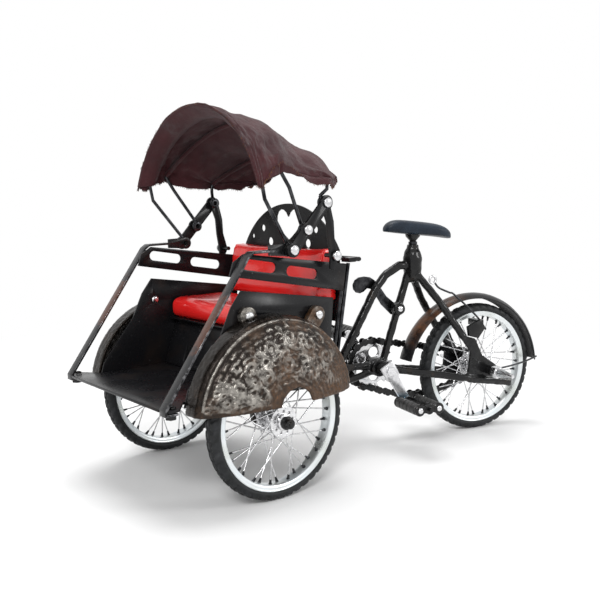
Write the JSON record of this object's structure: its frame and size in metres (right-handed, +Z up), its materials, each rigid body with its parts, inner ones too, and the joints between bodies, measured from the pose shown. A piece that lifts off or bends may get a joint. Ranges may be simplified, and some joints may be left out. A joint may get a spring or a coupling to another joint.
{
  "type": "miniature cycle rickshaw",
  "caption": "Iron miniature of a pedal rickshaw: hooded two-seat cabin on two spoked wheels, pushed by a pedalled rear frame that steers about a kingpin.",
  "frame": {"origin": "on the ground under the middle of the front axle", "axes": "+Z up, the cabin faces -Y, +X is the rickshaw's left"},
  "size_m": [0.1509, 0.2906, 0.208],
  "materials": {
    "black_paint": "gloss black paint over iron",
    "cast_bronze": "dark cast metal with silver high spots and rust",
    "bright_steel": "bright plated steel",
    "alloy_rim": "polished alloy",
    "tyre_rubber": "matt rubber",
    "red_vinyl": "glossy red vinyl",
    "maroon_cloth": "coarse maroon weave",
    "saddle_vinyl": "dark blue-black vinyl",
    "pedal_rubber": "black rubber"
  },
  "bodies": {
    "cabin": {"floor_board": "black_paint", "floor_bolts": "black_paint", "side_panel_left": "black_paint", "side_panel_right": "black_paint", "side_rail_left": "black_paint", "side_rail_right": "black_paint", "kick_plate": "black_paint", "seat_board": "black_paint", "seat_cushion": "red_vinyl", "back_cushion": "red_vinyl", "heart_back_plate": "black_paint", "rear_uprights_left": "black_paint", "rear_uprights_right": "black_paint", "push_handle": "black_paint", "hand_strap_left": "black_paint", "hand_strap_right": "black_paint", "hood_bar_left": "black_paint", "hood_bar_right": "black_paint", "hood_strut_left": "black_paint", "hood_strut_right": "black_paint", "hood_bolts_left": "bright_steel", "hood_bolts_right": "bright_steel", "hood_bow_front": "black_paint", "hood_bow_middle": "black_paint", "hood_bow_rear": "black_paint", "canopy": "maroon_cloth", "cast_fender_left": "cast_bronze", "cast_fender_right": "cast_bronze", "fender_bolts_left": "bright_steel", "fender_bolts_right": "bright_steel", "front_axle": "bright_steel", "kingpin": "bright_steel"},
    "rear_frame": {"main_frame": "black_paint", "rear_stays_left": "black_paint", "rear_stays_right": "black_paint", "rear_axle": "bright_steel", "saddle_post": "bright_steel", "saddle": "saddle_vinyl", "brake_lever": "black_paint", "brake_bracket": "black_paint", "brake_rod": "bright_steel", "rear_fender": "black_paint", "fender_stay": "black_paint", "chain": "black_paint"},
    "wheel_left": {"tyre_front_left": "tyre_rubber", "rim_front_left": "alloy_rim", "spoked_hub_front_left": "bright_steel"},
    "wheel_right": {"tyre_front_right": "tyre_rubber", "rim_front_right": "alloy_rim", "spoked_hub_front_right": "bright_steel"},
    "wheel_rear": {"tyre_rear": "tyre_rubber", "rim_rear": "alloy_rim", "spoked_hub_rear": "bright_steel", "sprocket": "bright_steel"},
    "crankset": {"crankset": "bright_steel", "chainring": "bright_steel"},
    "pedal_left": {"pedal_left": "pedal_rubber"},
    "pedal_right": {"pedal_right": "pedal_rubber"}
  },
  "joints": [
    {"name": "steering", "type": "hinge", "parent": "cabin", "child": "rear_frame", "pos_m": [0, 0.017, 0.046], "axis": [0, 0, 1], "range_deg": [-15.7, 44.3]},
    {"name": "wheel_left_spin", "type": "hinge", "parent": "cabin", "child": "wheel_left", "pos_m": [0.057, 0, 0.042], "axis": [1, 0, 0], "continuous": true},
    {"name": "wheel_right_spin", "type": "hinge", "parent": "cabin", "child": "wheel_right", "pos_m": [-0.057, 0, 0.042], "axis": [1, 0, 0], "continuous": true},
    {"name": "wheel_rear_spin", "type": "hinge", "parent": "rear_frame", "child": "wheel_rear", "pos_m": [0.041, 0.17786, 0.042], "axis": [0.969, -0.247, 0], "continuous": true},
    {"name": "crank_spin", "type": "hinge", "parent": "rear_frame", "child": "crankset", "pos_m": [0.02248, 0.10518, 0.0492], "axis": [0.969, -0.247, 0], "continuous": true},
    {"name": "pedal_left_spin", "type": "hinge", "parent": "crankset", "child": "pedal_left", "pos_m": [0.05523, 0.10818, 0.03015], "axis": [0.969, -0.247, 0], "continuous": true},
    {"name": "pedal_right_spin", "type": "hinge", "parent": "crankset", "child": "pedal_right", "pos_m": [-0.01028, 0.10218, 0.06825], "axis": [0.969, -0.247, 0], "continuous": true}
  ],
  "couplings": [
    {"joint": "crank_spin", "follows": "wheel_rear_spin", "ratio": 0.53333}
  ]
}
